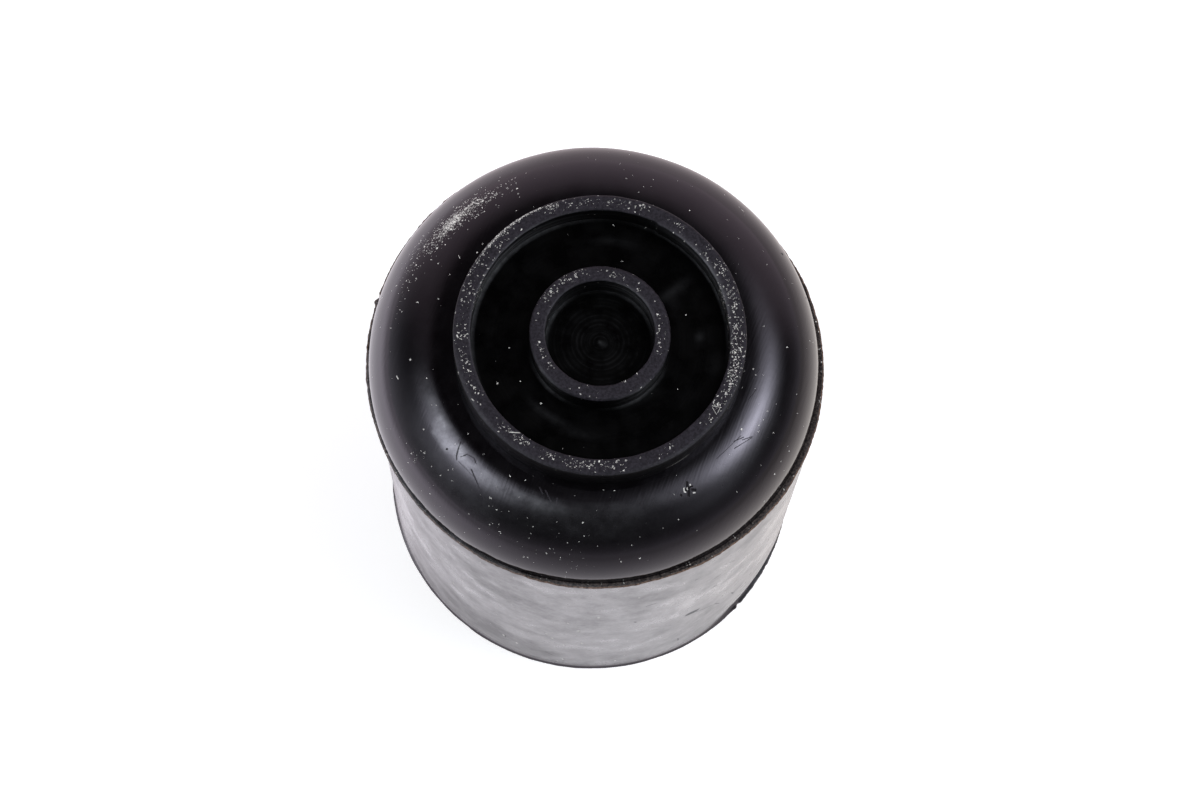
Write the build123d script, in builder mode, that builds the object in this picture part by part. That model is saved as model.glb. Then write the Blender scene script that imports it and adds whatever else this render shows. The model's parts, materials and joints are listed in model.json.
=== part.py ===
# Rubber pole tip: a one-piece moulded ferrule that pushes onto the end of a staff or pole.
# Millimetres, +Z up. The tip stands on its open mouth with the tread facing up.
# The origin is the centre of the mouth plane and +Z is the axis of the socket and the tread.

from build123d import *
import os

os.makedirs("parts", exist_ok=True)

# Body: a drafted wall that widens from the mouth to the parting line of the mould
height = 43.3  # mouth rim to tread
mouth_radius = 18.15
wall_flare = 0.45  # how far the wall widens on its way up

# Head: a quarter-round shoulder under a flat crown, moulded a little off the tip's axis
shoulder_rise = 6.0  # parting line to crown
ring_stand = 2.7  # crown to tread
crown_margin = 0.9  # flat crown left around the outer ring
head_shift_x = -0.4
head_shift_y = 0.1

# Flash: thin skirts of rubber squeezed out at the parting line and at the mouth
flash_thickness = 0.25
parting_flash_width = 0.4
parting_flash_shift = -0.3
mouth_flash_width = 0.2

# Tread: two flat-topped rings that stand up in the middle of the head
outer_ring_radius = 11.8
outer_ring_width = 1.4
inner_ring_radius = 5.7
inner_ring_width = 1.3
outer_recess_depth = 2.1
inner_recess_depth = 2.5
ring_edge_bevel = 0.15
ring_foot_bevel = 0.1
centre_foot_bevel = 0.25  # the centre recess has a softer foot

# Socket: blind, with flat-crested grip ribs that bear on the pole
pole_radius = 11.1  # a 22.2 mm (7/8 in) staff
pole_fit = 0.0  # line to line, the rubber stretches over the pole
socket_depth = 31.0
socket_end_bevel = 1.5
lead_in = 1.2
rib_height = 0.45
rib_crest = 1.2
rib_flank = 0.6
rib_count = 4
mouth_to_ribs = 4.0  # mouth rim to the first crest
ribs_to_end = 3.8  # last crest to the blind end

# Worked out from the values above
head_radius = mouth_radius + wall_flare
crown_radius = outer_ring_radius + crown_margin
shoulder_width = head_radius - crown_radius
crown_height = height - ring_stand
parting_height = crown_height - shoulder_rise
ring_floor = height - outer_recess_depth
centre_floor = height - inner_recess_depth
grip_radius = pole_radius + pole_fit
socket_radius = grip_radius + rib_height
rib_pitch = (socket_depth - mouth_to_ribs - ribs_to_end - rib_crest) / (rib_count - 1)

with BuildPart() as rubber_tip:
    # Drafted wall from the mouth to the parting line
    with BuildSketch(Plane.XZ):
        with BuildLine():
            Polyline(
                (0, 0),
                (mouth_radius, 0),
                (head_radius, parting_height),
                (0, parting_height),
                close=True,
            )
        make_face()
    revolve(axis=Axis.Z)

    # Flash at the mouth, and the wider flash just under the parting line
    with BuildSketch(Plane.XY):
        Circle(mouth_radius + mouth_flash_width)
    extrude(amount=flash_thickness)
    with BuildSketch(Plane.XY.offset(parting_height - flash_thickness)):
        with Locations((parting_flash_shift, 0)):
            Circle(head_radius + parting_flash_width)
    extrude(amount=flash_thickness)

    # Head: shoulder and crown, turned about an axis of their own
    head_origin = (head_shift_x, head_shift_y, 0)
    with BuildSketch(Plane(head_origin, x_dir=(1, 0, 0), z_dir=(0, -1, 0))):
        with BuildLine():
            Line((0, parting_height), (head_radius, parting_height))
            EllipticalCenterArc(
                (crown_radius, parting_height), shoulder_width, shoulder_rise, arc_size=90
            )
            Line((crown_radius, crown_height), (0, crown_height))
            Line((0, crown_height), (0, parting_height))
        make_face()
    revolve(axis=Axis(head_origin, (0, 0, 1)))

    # Tread boss, then the ring-shaped and the round recess that leave the two rings
    with BuildSketch(Plane.XY.offset(crown_height)):
        Circle(outer_ring_radius)
    extrude(amount=ring_stand)
    with BuildSketch(Plane.XY.offset(height)):
        Circle(outer_ring_radius - outer_ring_width)
        Circle(inner_ring_radius, mode=Mode.SUBTRACT)
    extrude(amount=-outer_recess_depth, mode=Mode.SUBTRACT)
    with BuildSketch(Plane.XY.offset(height)):
        Circle(inner_ring_radius - inner_ring_width)
    extrude(amount=-inner_recess_depth, mode=Mode.SUBTRACT)

    # Bevelled feet where the rings rise from the crown and the recess floors
    for foot_level, foot_bevel in (
        (crown_height, ring_foot_bevel),
        (ring_floor, ring_foot_bevel),
        (centre_floor, centre_foot_bevel),
    ):
        ring_circles = rubber_tip.edges().filter_by(GeomType.CIRCLE)
        ring_feet = ring_circles.filter_by_position(Axis.Z, foot_level, foot_level)
        chamfer(ring_feet.filter_by(lambda edge: edge.radius < crown_radius), foot_bevel)

    # Broken edges of the two flat ring tops
    ring_circles = rubber_tip.edges().filter_by(GeomType.CIRCLE)
    chamfer(ring_circles.filter_by_position(Axis.Z, height, height), ring_edge_bevel)

    # Socket: a plain bore with a bevelled blind end, less the grip ribs
    with BuildSketch(Plane.XZ) as socket_section:
        Rectangle(socket_radius, socket_depth, align=(Align.MIN, Align.MIN))
        end_corner = socket_section.vertices().group_by(Axis.Y)[-1].sort_by(Axis.X)[-1]
        chamfer(end_corner, socket_end_bevel)
        for rib in range(rib_count):
            crest_start = mouth_to_ribs + rib * rib_pitch
            with BuildLine():
                Polyline(
                    (socket_radius, crest_start - rib_flank),
                    (grip_radius, crest_start),
                    (grip_radius, crest_start + rib_crest),
                    (socket_radius, crest_start + rib_crest + rib_flank),
                    close=True,
                )
            make_face(mode=Mode.SUBTRACT)
    revolve(axis=Axis.Z, mode=Mode.SUBTRACT)

    # Lead-in for the pole at the mouth
    mouth_circles = rubber_tip.edges().filter_by(GeomType.CIRCLE).filter_by_position(Axis.Z, 0, 0)
    chamfer(mouth_circles.sort_by(SortBy.RADIUS)[0], lead_in)

rubber_tip.part.label = "rubber_tip"
export_step(rubber_tip.part, "parts/rubber_tip.step")
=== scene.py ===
import json
import math
from functools import partial

import bpy
import numpy as np
from mathutils import Matrix, Vector


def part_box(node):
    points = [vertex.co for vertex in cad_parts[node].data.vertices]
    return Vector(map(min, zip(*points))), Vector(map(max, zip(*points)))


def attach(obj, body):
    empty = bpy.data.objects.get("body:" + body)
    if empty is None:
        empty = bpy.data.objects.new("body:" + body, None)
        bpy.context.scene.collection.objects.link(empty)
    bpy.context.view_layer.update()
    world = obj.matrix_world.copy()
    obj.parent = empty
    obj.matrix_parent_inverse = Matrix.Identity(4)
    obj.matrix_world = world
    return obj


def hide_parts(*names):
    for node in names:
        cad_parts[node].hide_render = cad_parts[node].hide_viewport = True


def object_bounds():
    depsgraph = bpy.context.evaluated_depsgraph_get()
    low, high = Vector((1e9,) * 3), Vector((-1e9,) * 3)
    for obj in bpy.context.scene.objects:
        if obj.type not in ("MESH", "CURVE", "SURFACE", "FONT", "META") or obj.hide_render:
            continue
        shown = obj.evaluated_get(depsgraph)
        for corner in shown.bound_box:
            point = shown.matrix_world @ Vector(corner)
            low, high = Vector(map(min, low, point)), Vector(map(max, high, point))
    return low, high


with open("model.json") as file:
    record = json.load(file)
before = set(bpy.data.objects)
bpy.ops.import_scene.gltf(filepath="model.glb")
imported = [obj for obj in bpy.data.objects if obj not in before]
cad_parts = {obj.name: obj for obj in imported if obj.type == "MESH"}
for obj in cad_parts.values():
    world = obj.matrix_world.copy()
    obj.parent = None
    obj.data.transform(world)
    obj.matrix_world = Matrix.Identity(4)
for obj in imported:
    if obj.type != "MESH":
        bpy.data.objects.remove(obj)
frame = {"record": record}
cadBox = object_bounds()
print("frame loaded")

mm = 0.001
bpy.context.scene.view_settings.view_transform = "Standard"


def linearColour(hexCode):
    # sRGB hex to linear: below the toe divide by 12.92, above it shift, scale and raise to 2.4
    channels = [int(hexCode[i:i + 2], 16) / 255 for i in (0, 2, 4)]
    return tuple(c / 12.92 if c <= 0.04045 else ((c + 0.055) / 1.055) ** 2.4 for c in channels) + (1.0,)


def addNode(tree, kind, sockets=None, **settings):
    # settings are the node's own properties; each socket, by name or number, takes a value or a link,
    # and a whole node given as a value is linked by its first output in use
    node = tree.nodes.new("ShaderNode" + kind)
    for name, value in settings.items():
        setattr(node, name, value)
    for name, value in (sockets or {}).items():
        if isinstance(value, bpy.types.Node):
            value = next(output for output in value.outputs if output.enabled)
        if isinstance(value, bpy.types.NodeSocket):
            tree.links.new(value, node.inputs[name])
        else:
            node.inputs[name].default_value = value
    return node


def direction(azimuth, elevation):
    turn, rise = math.radians(azimuth), math.radians(elevation)
    return Vector((math.cos(turn) * math.cos(rise), math.sin(turn) * math.cos(rise), math.sin(rise)))


def smoothStep(low, high, value):
    # 0 below low, 1 above high, and 3t^2 - 2t^3 between
    t = np.clip((value - low) / (high - low), 0, 1)
    return t * t * (3 - 2 * t)


def hump(angle, middle, spread):
    # a bell round the axis: exp(-(turn / spread)^2 / 2), with the turn taken the short way, in degrees
    turn = (np.degrees(angle) - middle + 180) % 360 - 180
    return np.exp(-((turn / spread) ** 2) / 2)


def wander(angle, seed, slowest, fastest, fall):
    # a closed random line round the axis: cosines of whole-number turns with random phases,
    # each weaker than the last by turns ** -fall, scaled to a spread of one
    dice = np.random.default_rng(seed)
    turns = np.arange(slowest, fastest + 1)
    phase = dice.uniform(0, 2 * math.pi, turns.size)
    weight = turns ** -fall * dice.uniform(0.4, 1.0, turns.size)
    line = (weight * np.cos(angle[..., None] * turns + phase)).sum(-1)
    return line / line.std()


# The camera looks down on the tread from the front
view = {
    "lens": 99.0,  # mm on a 36 mm sensor
    "elevation": 73.52,  # degrees above the table
    "roll": 4.32,
    "distance": 264.32,  # mm from the tread to the lens
    "right": 0.066,  # mm that the tread's centre stands off the optical axis
    "up": 5.357,
}


def placeCamera():
    camera = bpy.data.objects.new("camera", bpy.data.cameras.new("camera"))
    camera.data.lens = view["lens"]
    camera.data.sensor_width = 36
    camera.data.clip_start = 0.01
    tilt, roll = math.radians(view["elevation"]), math.radians(view["roll"])
    forward = Vector((0, math.cos(tilt), -math.sin(tilt)))
    level, rise = Vector((1, 0, 0)), Vector((0, math.sin(tilt), math.cos(tilt)))
    right = math.cos(roll) * level + math.sin(roll) * rise
    up = -math.sin(roll) * level + math.cos(roll) * rise
    tread = Vector((0, 0, cadBox[1][2] / mm))
    spot = tread - view["right"] * right - view["up"] * up - view["distance"] * forward
    turn = Matrix((right, up, -forward)).transposed().to_4x4()
    camera.matrix_world = Matrix.Translation(spot * mm) @ turn
    bpy.context.scene.collection.objects.link(camera)
    bpy.context.scene.camera = camera


placeCamera()
print("camera placed")


# Two soft lamps with lit screens round them, in a white room that is dark overhead
studio = {
    "lampDistance": 0.9,  # m from the tip to each lamp
    # where each lamp stands as azimuth from +X and elevation, its size in degrees seen from the tip,
    # and how bright it looks beside a white that is 1
    "rightLamp": {"azimuth": 5, "elevation": 56, "size": (8, 11), "radiance": 2.0},
    "leftLamp": {"azimuth": 201, "elevation": 56, "size": (8, 10), "radiance": 1.8},
    # azimuth and elevation, brightness in the middle, the angle at which it has fallen to about a third,
    # and how sharply it falls
    "screens": [(5, 57, 10.4, 11, 1.5), (22, 71, 0.9, 9, 2), (201, 57, 4.7, 10.5, 1.7),
                (189, 70, 2.4, 9, 2.6), (206, 36, 0.75, 16, 2), (330, 36, 0.4, 16, 2),
                (180, 2, 0.45, 26, 1.6)],
    "screenColour": (0.96, 1.03, 1.07, 1),
    # height above the horizon as its sine, and brightness, at the back and elsewhere
    "backSky": [(0, 1.0), (0.21, 0.86), (0.41, 0.77), (0.59, 0.63), (0.74, 0.48), (0.87, 0.24),
                (0.92, 0.1), (0.95, 0.02), (0.975, 0.02), (0.988, 0.02), (0.9985, 0.04)],
    "frontSky": [(0, 0.48), (0.1, 0.32), (0.21, 0.2), (0.41, 0.07), (0.59, 0.045), (0.87, 0.05),
                 (0.95, 0.08), (0.988, 0.1), (0.9985, 0.08)],
    "backHue": (1.08, 0.93, 0.99),
    "frontHue": (1, 0.97, 1.03),
    "backShare": (0.25, 0.88),  # how far round to +Y the back's sky starts, and where it is whole
    "brightest": 2.0,  # the level that a ramp's full white stands for
    "floorSize": 6.0,  # m
    "floorColour": "d8d8da",
    "floorShown": 0.68,  # light given back to the camera beside what the lamps do
    "floorReach": 0.3,  # m from the tip to the last of the levels below
    # how bright the floor looks in reflections at shares of that reach, and its hue, on each side; the
    # lower levels right by the tip are a painted shadow of the tip, seen only in reflections
    "floorLevels": {
        "left": [(0.062, 1.15), (0.072, 1.4), (0.09, 1.45), (0.13, 1.35), (0.2, 1.65), (0.4, 2.2),
                 (0.67, 1.7), (1, 1.15)],
        "right": [(0.062, 1.15), (0.09, 1.3), (0.2, 1.3), (0.3, 1.1), (0.4, 0.9), (0.67, 0.7),
                  (1, 0.5)],
        "front": [(0.062, 1.1), (0.07, 1.35), (0.09, 1.4), (0.15, 1.0), (0.2, 0.92), (0.3, 0.8),
                  (0.4, 0.7), (0.67, 0.58), (1, 0.48)],
        "back": [(0.09, 0.7), (0.2, 0.82), (0.4, 0.85), (1, 0.95)],
    },
    "floorHues": {"left": (0.99, 0.95, 1.02), "right": (1.03, 0.97, 0.92),
                  "front": (0.99, 0.96, 1.0), "back": (1.03, 0.9, 0.94)},
}


def addLamp(name):
    box = studio[name]
    distance = studio["lampDistance"]
    outward = direction(box["azimuth"], box["elevation"])
    lamp = bpy.data.lights.new(name, "AREA")
    lamp.shape = "RECTANGLE"
    lamp.size, lamp.size_y = (2 * distance * math.tan(math.radians(side) / 2) for side in box["size"])
    # the renderer spreads a lamp's power over four times its area
    lamp.energy = box["radiance"] * lamp.size * lamp.size_y * 4
    lampObject = bpy.data.objects.new(name, lamp)
    aim = (-outward).to_track_quat("-Z", "Y").to_matrix().to_4x4()
    lampObject.matrix_world = Matrix.Translation(outward * distance) @ aim
    lampObject.visible_glossy = False  # the screens are what is seen in the gloss
    bpy.context.scene.collection.objects.link(lampObject)


def fillRamp(ramp, stops, hue):
    # each level is kept as a share of the brightest, because a ramp holds nothing above 1
    elements = ramp.color_ramp.elements
    elements[0].position, elements[1].position = stops[0][0], stops[-1][0]
    for position, _ in stops[1:-1]:
        elements.new(position)
    for element, (_, level) in zip(elements, stops):
        element.color = (*(level / studio["brightest"] * channel for channel in hue), 1)
    return ramp


def makeWorld():
    world = bpy.data.worlds.new("studio")
    bpy.context.scene.world = world
    world.use_nodes = True
    world.node_tree.nodes.clear()
    add = partial(addNode, world.node_tree)
    ray = add("TexCoord").outputs["Generated"]
    rise = add("SeparateXYZ", {0: ray}).outputs[2]
    level = add("VectorMath", {0: ray, 1: (1, 1, 0)}, operation="MULTIPLY")
    level = add("VectorMath", {0: level}, operation="NORMALIZE")
    around = add("SeparateXYZ", {0: level})
    starts, whole = studio["backShare"]
    back = add("MapRange", {0: around.outputs[1], 1: starts, 2: whole}, interpolation_type="SMOOTHSTEP")
    skies = [fillRamp(add("ValToRGB", {0: rise}), studio[side + "Sky"], studio[side + "Hue"])
             for side in ("front", "back")]
    sky = add("Mix", {0: back, 6: skies[0], 7: skies[1]}, data_type="RGBA")
    light = add("Background", {0: sky, 1: studio["brightest"]})

    # a screen's brightness is that of its middle * exp(-(angle / width) ** sharpness)
    for azimuth, elevation, brightness, width, sharpness in studio["screens"]:
        toward = add("VectorMath", {0: ray, 1: direction(azimuth, elevation)}, operation="DOT_PRODUCT")
        angle = add("Math", {0: toward}, operation="ARCCOSINE")
        widths = add("Math", {0: angle, 1: math.radians(width)}, operation="DIVIDE")
        fall = add("Math", {0: widths, 1: sharpness}, operation="POWER")
        share = add("Math", {0: math.exp(-1), 1: fall}, operation="POWER")
        glow = add("Math", {0: share, 1: brightness}, operation="MULTIPLY")
        screen = add("Background", {0: studio["screenColour"], 1: glow})
        light = add("AddShader", {0: light, 1: screen})

    # the room itself is seen as plain white
    white = add("Background", {0: (1, 1, 1, 1), 1: 1.0})
    path = add("LightPath")
    pick = add("MixShader", {0: path.outputs["Is Camera Ray"], 1: light, 2: white})
    add("OutputWorld", {0: pick})


def makeFloor():
    half = studio["floorSize"] / 2
    mesh = bpy.data.meshes.new("floor")
    corners = [(-half, -half, 0), (half, -half, 0), (half, half, 0), (-half, half, 0)]
    mesh.from_pydata(corners, [], [(0, 1, 2, 3)])
    floor = bpy.data.objects.new("floor", mesh)
    bpy.context.scene.collection.objects.link(floor)
    matter = bpy.data.materials.new("whiteTable")
    matter.use_nodes = True
    matter.node_tree.nodes.clear()
    add = partial(addNode, matter.node_tree)
    chalk = add("BsdfDiffuse", {0: linearColour(studio["floorColour"])})
    path = add("LightPath")
    shown = add("Math", {0: path.outputs["Is Camera Ray"], 1: studio["floorShown"]},
                operation="MULTIPLY")
    glow = add("Emission", {0: (1, 1, 1, 1), 1: shown})
    table = add("AddShader", {0: chalk, 1: glow})

    # in reflections the floor has a level of its own on each side of the tip, with a painted shadow of the
    # tip close to it, and between two sides they mix by the squares of the cosine and the sine of the
    # azimuth, which add up to one
    place = add("TexCoord").outputs["Object"]
    away = add("VectorMath", {0: place}, operation="LENGTH")
    away = add("MapRange", {0: away, 2: studio["floorReach"]})
    around = add("VectorMath", {0: place}, operation="NORMALIZE")
    around = add("SeparateXYZ", {0: around})
    shares = []
    for axis, sides in ((0, ("left", "right")), (1, ("front", "back"))):
        beyond = add("Math", {0: around.outputs[axis], 1: 0}, operation="GREATER_THAN")
        less, more = (fillRamp(add("ValToRGB", {0: away}), studio["floorLevels"][side],
                               studio["floorHues"][side]) for side in sides)
        level = add("Mix", {0: beyond, 6: less, 7: more}, data_type="RGBA")
        square = add("Math", {0: around.outputs[axis], 1: 2}, operation="POWER")
        shares.append(add("VectorMath", {0: level, "Scale": square}, operation="SCALE"))
    level = add("VectorMath", {0: shares[0], 1: shares[1]}, operation="ADD")
    seen = add("Emission", {0: level, 1: studio["brightest"]})
    pick = add("MixShader", {0: path.outputs["Is Glossy Ray"], 1: table, 2: seen})
    add("OutputMaterial", {0: pick})
    mesh.materials.append(matter)


addLamp("rightLamp")
addLamp("leftLamp")
makeWorld()
makeFloor()
print("studio lit")


# The tip itself, a section carried round the axis
boxLow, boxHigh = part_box("rubber_tip")
socket = next(m for m in frame["record"]["mounts"] if m["name"] == "pole_socket")
gripLength = socket["dims"]["length_mm"]

# millimetres, as the frame has them; a wave is (height, seed, slowest and fastest turns, fall) and a
# bulge is (height, azimuth, spread in degrees)
tip = {
    "columns": 660,
    "roundSteps": 4,  # points on each rounded edge,
    "shoulderSteps": 29,  # and rows on the shoulder, the rings' tops, the recess's floor and the wall
    "topRows": 5,
    "floorRows": 9,
    "wallRows": 24,
    "sharpAngle": 50,  # degrees
    "height": boxHigh.z / mm,
    "mouthRadius": 18.15,
    "headRadius": 18.6,
    "headShift": (-0.4, 0.1),
    "flashRadius": boxHigh.y / mm,
    "flashShift": ((boxLow.x + boxHigh.x) / 2 / mm, 0.0),
    "flashThickness": 0.25,
    "mouthFlash": 0.2,
    "ringStand": 2.7,
    "shoulderRise": 6.0,
    "crownRadius": 12.7,
    "outerRing": (10.4, 11.8),
    "innerRing": (4.4, 5.7),
    "innerRingShift": (-0.06, 0.02),
    "outerEdgeShift": (-0.06, -0.02),
    "outerRecess": 2.1,
    "innerRecess": 2.5,
    "outerEdge": 0.25,  # rounding of the rings' outer and inner edges
    "innerEdge": 0.14,
    "pip": [(0.12, 0.03), (0.2, 0.022), (0.3, 0.004)],  # radius, and height over the centre's floor
    "pipShift": (-0.25, 0.1),
    "innerReach": (8.5, 6.5),  # radii between which the inner ring's shift fades in
    "treadAbove": 40,  # rows above this height belong to the rings and the recesses
    "lipAbove": 30,  # and above this one to the parting line's flash or the head
    "gripRadius": socket["dims"]["r_mm"],
    "gripStart": socket["pos_m"][2] / mm - gripLength / 2,
    "gripEnd": socket["pos_m"][2] / mm + gripLength / 2,
    "socketDepth": 31.0,
    "ribHeight": 0.45,
    "ribCrest": 1.2,
    "ribFlank": 0.6,
    "ribCount": 4,
    "leadIn": 1.2,
    "endBevel": 1.5,
    # the flash is trimmed by hand, so its edge wanders and droops, with one nub and a nick or two
    "trim": 0.05,
    "flashWaves": [(0.025, 3, 4, 40, 0.5), (0.014, 4, 40, 260, 0.1)],
    "flashBulges": [(0.12, 139, 9), (-0.16, 48, 13), (-0.1, 90, 25), (-0.12, 218, 30), (0.16, 167.8, 0.5),
                    (-0.14, 166.2, 0.45), (0.05, 325, 14)],
    "flashDroop": [(0.03, 5, 3, 60, 0.5)],
    # how much each row of the flash gives way to them, outwards and down, from the crease round the rim
    "lipYield": [0, 0, 0.7, 0.9, 1, 0.9, 0.3],
    "lipDroop": [0, 0.3, 0.7, 0.9, 1, 1, 0.6],
    # the mouth's flash is thinner and spreads a little on the right of the front, where it is rougher
    # and the wall over it draws in by the waist
    "spread": [(1, 337, 10), (0.25, 320, 5)],
    "mouthWaves": [(0.01, 6, 3, 60, 0.5)],
    "mouthRough": [(0.012, 7, 60, 260, 0.1)],
    "mouthBulges": [(-0.16, 321.7, 0.35), (0.07, 320.6, 0.5)],
    "mouthYield": [0.4, 0.9, 1, 1, 0.4],
    "roughLeast": 0.25,
    "spreadTrim": 0.05,
    "waist": 0.5,
    "waistTop": (3.2, 0.9),  # heights between which it grows, and dies out again at the foot
    "waistFoot": (0.2, 0.55),
    "mouthFlare": 0.05,
    "flareTop": (0.9, 0.4),
    # moulded rubber isn't quite true: slow waves in the wall, the shoulder and the ring edges, and
    # ripples in the wall that lean by this many radians in each mm of height
    "wallWaves": [(0.035, 8, 2, 9, 0.8)],
    "wallRipples": [(0.012, 9, 5, 30, 0.6)],
    "rippleLean": 0.09,
    "wavesTop": (34.3, 30.0),  # heights between which they die out under the flash and at the foot
    "wavesFoot": (0.3, 3.0),
    "shoulderWaves": [(0.02, 10, 2, 12, 0.8)],
    "shoulderRolls": [(0.012, 11, 3, 24, 0.8)],
    "ringWaves": [(0.01, 12, 3, 60, 0.6)],
    # the outer recess was cut in two goes, and they meet in a small step: how far out the first left
    # the wall, how much less the second did and the degrees in which it starts and ends, and the same
    # for the place before it where they overlap
    "firstCut": 0.05,
    "secondCut": 0.12,
    "cutStart": (-15, 5),
    "cutEnd": (69, 67),
    "cutOverlap": 0.05,
    "overlapStart": (350, 360),
}
tip["crown"] = tip["height"] - tip["ringStand"]
tip["parting"] = tip["crown"] - tip["shoulderRise"]


def edgeLine(angle, waves, bulges=()):
    # the sum of each wave's height times its wandering line and of each bulge's height times its bell
    line = sum(height * wander(angle, *wave) for height, *wave in waves)
    return line + sum(height * hump(angle, *bulge) for height, *bulge in bulges)


def wallRadius(level):
    # the drafted wall widens evenly from the mouth to the parting line
    return tip["mouthRadius"] + (tip["headRadius"] - tip["mouthRadius"]) * level / tip["parting"]


def roundedPath(corners, steps):
    # a path through (radius, height, rounding) corners, where each rounding is an arc
    # tangent to both runs: it starts and ends at rounding / tan(half the opening) from the corner
    path = []
    for i, (radius, height, rounding) in enumerate(corners):
        here = np.array((radius, height), float)
        if rounding == 0 or i in (0, len(corners) - 1):
            path.append(here)
            continue
        before = np.array(corners[i - 1][:2], float) - here
        after = np.array(corners[i + 1][:2], float) - here
        before, after = before / np.linalg.norm(before), after / np.linalg.norm(after)
        halfOpening = math.acos(np.clip(before @ after, -1, 1)) / 2
        reach = rounding / math.tan(halfOpening)
        centre = here + (before + after) / np.linalg.norm(before + after) * rounding / math.sin(halfOpening)
        first, last = here + before * reach - centre, here + after * reach - centre
        for share in np.linspace(0, 1, steps):
            turned = first * (1 - share) + last * share
            path.append(centre + turned / np.linalg.norm(turned) * rounding)
    return np.array(path)


def tipSection():
    # the section from the middle of the tread out over the rings and the shoulder, down the wall,
    # round the mouth and up the socket to its blind end, as named runs of (radius, height)
    t = tip
    top, crown, parting = t["height"], t["crown"], t["parting"]
    outerFloor, centreFloor = top - t["outerRecess"], top - t["innerRecess"]
    innerIn, innerOut = t["innerRing"]
    outerIn, outerOut = t["outerRing"]

    pip = [(radius, centreFloor + rise) for radius, rise in t["pip"]]
    centre = np.array(pip + [(reach, centreFloor) for reach in np.linspace(0.8, innerIn - 0.5, 5)])

    def ringTop(inner, outer, floorInside, floorOutside):
        # rows across the flat top and on the floor give the dust somewhere to lie
        across = np.linspace(inner + t["innerEdge"] + 0.08, outer - t["outerEdge"] - 0.08, t["topRows"])
        return ([(inner, floorInside, 0), (inner, top, t["innerEdge"])]
                + [(radius, top, 0) for radius in across]
                + [(outer, top, t["outerEdge"]), (outer, top - 0.8, 0), (outer, floorOutside, 0)])

    onFloor = np.linspace(innerOut + 0.3, outerIn - 0.3, t["floorRows"])
    corners = ([(innerIn - 0.3, centreFloor, 0)]
               + ringTop(innerIn, innerOut, centreFloor, outerFloor)
               + [(radius, outerFloor, 0) for radius in onFloor]
               + ringTop(outerIn, outerOut, outerFloor, crown)
               + [(t["crownRadius"], crown, 0)])
    rings = roundedPath(corners, t["roundSteps"])

    # a quarter ellipse from the crown, whose own row is the last of the rings
    lean = np.radians(np.linspace(90, 0, t["shoulderSteps"])[1:])
    width = t["headRadius"] - t["crownRadius"]
    shoulder = np.stack([t["crownRadius"] + width * np.cos(lean),
                         parting + t["shoulderRise"] * np.sin(lean)], -1)

    # a crease, and then the flash that stands out of it, over its rim and back underneath
    under = parting - t["flashThickness"]
    rim = t["flashRadius"]
    crease = t["headRadius"] + 0.04
    lip = np.array([(crease, parting - 0.1), (crease + 0.08, parting - 0.03), (rim - 0.2, parting - 0.01),
                    (rim - 0.11, parting - 0.015), (rim, parting - 0.06), (rim - 0.02, under + 0.04),
                    (rim - 0.12, under)])

    # the drafted wall, with closer rows at its foot, and the mouth's flash round to the flat rim
    wallHeight = np.concatenate([[under], np.linspace(parting - 0.7, 1.6, t["wallRows"]),
                                 [1.2, 0.95, 0.7, 0.5]])
    wall = np.stack([wallRadius(wallHeight), wallHeight], -1)

    rim = t["mouthRadius"] + t["mouthFlash"]
    mouth = np.array([(rim - 0.12, 0.3), (rim - 0.03, 0.22), (rim, 0.13), (rim - 0.02, 0.05),
                      (rim - 0.08, 0)])

    # the lead-in, the ribs, whose crests grip the pole, and the bevelled blind end
    bore = t["gripRadius"] + t["ribHeight"]
    inside = [(bore + t["leadIn"], 0), (bore, t["leadIn"])]
    pitch = (t["gripEnd"] - t["gripStart"] - t["ribCrest"]) / (t["ribCount"] - 1)
    for rib in range(t["ribCount"]):
        crest = t["gripStart"] + rib * pitch
        inside += [(bore, crest - t["ribFlank"]), (t["gripRadius"], crest),
                   (t["gripRadius"], crest + t["ribCrest"]), (bore, crest + t["ribCrest"] + t["ribFlank"])]
    inside += [(bore, t["socketDepth"] - t["endBevel"]), (bore - t["endBevel"], t["socketDepth"]),
               (bore / 2, t["socketDepth"])]
    return {"centre": centre, "rings": rings, "shoulder": shoulder, "lip": lip, "wall": wall,
            "mouth": mouth, "inside": np.array(inside)}


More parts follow.
